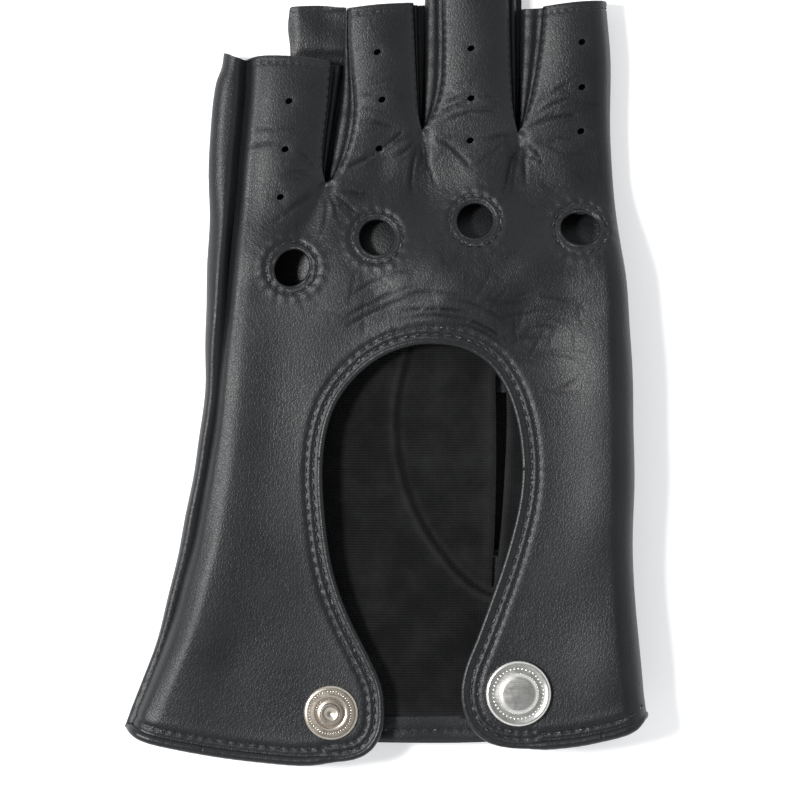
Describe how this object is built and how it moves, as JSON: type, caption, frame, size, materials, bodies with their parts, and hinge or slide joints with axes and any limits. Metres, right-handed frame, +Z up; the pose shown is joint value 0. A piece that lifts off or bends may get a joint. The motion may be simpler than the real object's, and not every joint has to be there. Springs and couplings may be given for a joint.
{
  "type": "fingerless driving glove",
  "caption": "Left-hand fingerless leather driving glove with open knuckles, a keyhole back, and two wrist flaps that close with a press stud.",
  "frame": {"origin": "on the surface that the glove lies on, under the middle of its outline", "axes": "+X towards the index finger and thumb side, +Y towards the fingertips, +Z up out of the back of the hand"},
  "size_m": [0.1193, 0.183, 0.017],
  "materials": {
    "leather": "smooth black nappa leather with a soft sheen",
    "binding": "rolled black leather binding, slightly glossier",
    "facing": "thin black leather, matt",
    "lining": "black ribbed knit",
    "snap_metal": "bright nickel plate",
    "spring_steel": "bright spring wire"
  },
  "bodies": {
    "hand": {"back_panel": "leather", "hem_binding_cap_side": "binding", "hem_binding_stud_side": "binding", "keyhole_binding": "binding", "knuckle_facing_index": "facing", "knuckle_facing_little": "facing", "knuckle_facing_middle": "facing", "knuckle_facing_ring": "facing", "palm_hem_facing": "facing", "palm_lining": "lining", "palm_panel": "leather"},
    "stud_flap": {"snap_stud": "snap_metal", "snap_stud_eyelet": "snap_metal", "stud_flap_binding": "binding", "stud_flap_leather": "leather", "stud_flap_lining": "facing"},
    "cap_flap": {"cap_flap_binding": "binding", "cap_flap_leather": "leather", "cap_flap_lining": "facing", "snap_cap": "snap_metal", "snap_socket": "snap_metal", "snap_spring": "spring_steel"},
    "little_finger": {"little_back": "leather", "little_inner_fourchette": "leather", "little_palm": "leather"},
    "ring_finger": {"ring_back": "leather", "ring_inner_fourchette": "leather", "ring_outer_fourchette": "leather", "ring_palm": "leather"},
    "middle_finger": {"middle_back": "leather", "middle_inner_fourchette": "leather", "middle_outer_fourchette": "leather", "middle_palm": "leather"},
    "index_finger": {"index_back": "leather", "index_outer_fourchette": "leather", "index_palm": "leather"},
    "thumb": {"thumb_lower_leaf": "leather", "thumb_upper_leaf": "leather"}
  },
  "joints": [
    {"name": "stud_flap_bend", "type": "hinge", "parent": "hand", "child": "stud_flap", "pos_m": [-0.01624, -0.02, 0.01245], "axis": [-0.342, -0.9396, -0.0169], "range_deg": [0, 110]},
    {"name": "cap_flap_bend", "type": "hinge", "parent": "hand", "child": "cap_flap", "pos_m": [0.03424, -0.02, 0.01494], "axis": [-0.2449, 0.9695, -0.0121], "range_deg": [0, 110]},
    {"name": "little_finger_bend", "type": "hinge", "parent": "hand", "child": "little_finger", "pos_m": [-0.02438, 0.04525, 0.0092], "axis": [1, 0, 0], "range_deg": [0, 50]},
    {"name": "ring_finger_bend", "type": "hinge", "parent": "hand", "child": "ring_finger", "pos_m": [-0.00285, 0.05685, 0.0092], "axis": [1, 0, 0], "range_deg": [0, 50]},
    {"name": "middle_finger_bend", "type": "hinge", "parent": "hand", "child": "middle_finger", "pos_m": [0.01881, 0.05655, 0.0092], "axis": [0.9996, -0.0282, 0], "range_deg": [0, 50]},
    {"name": "index_finger_bend", "type": "hinge", "parent": "hand", "child": "index_finger", "pos_m": [0.04109, 0.05575, 0.0092], "axis": [0.9989, -0.0466, 0], "range_deg": [0, 50]},
    {"name": "thumb_swing", "type": "hinge", "parent": "hand", "child": "thumb", "pos_m": [0.026, -0.024, 0], "axis": [0, 0, -1], "range_deg": [0, 70]}
  ]
}
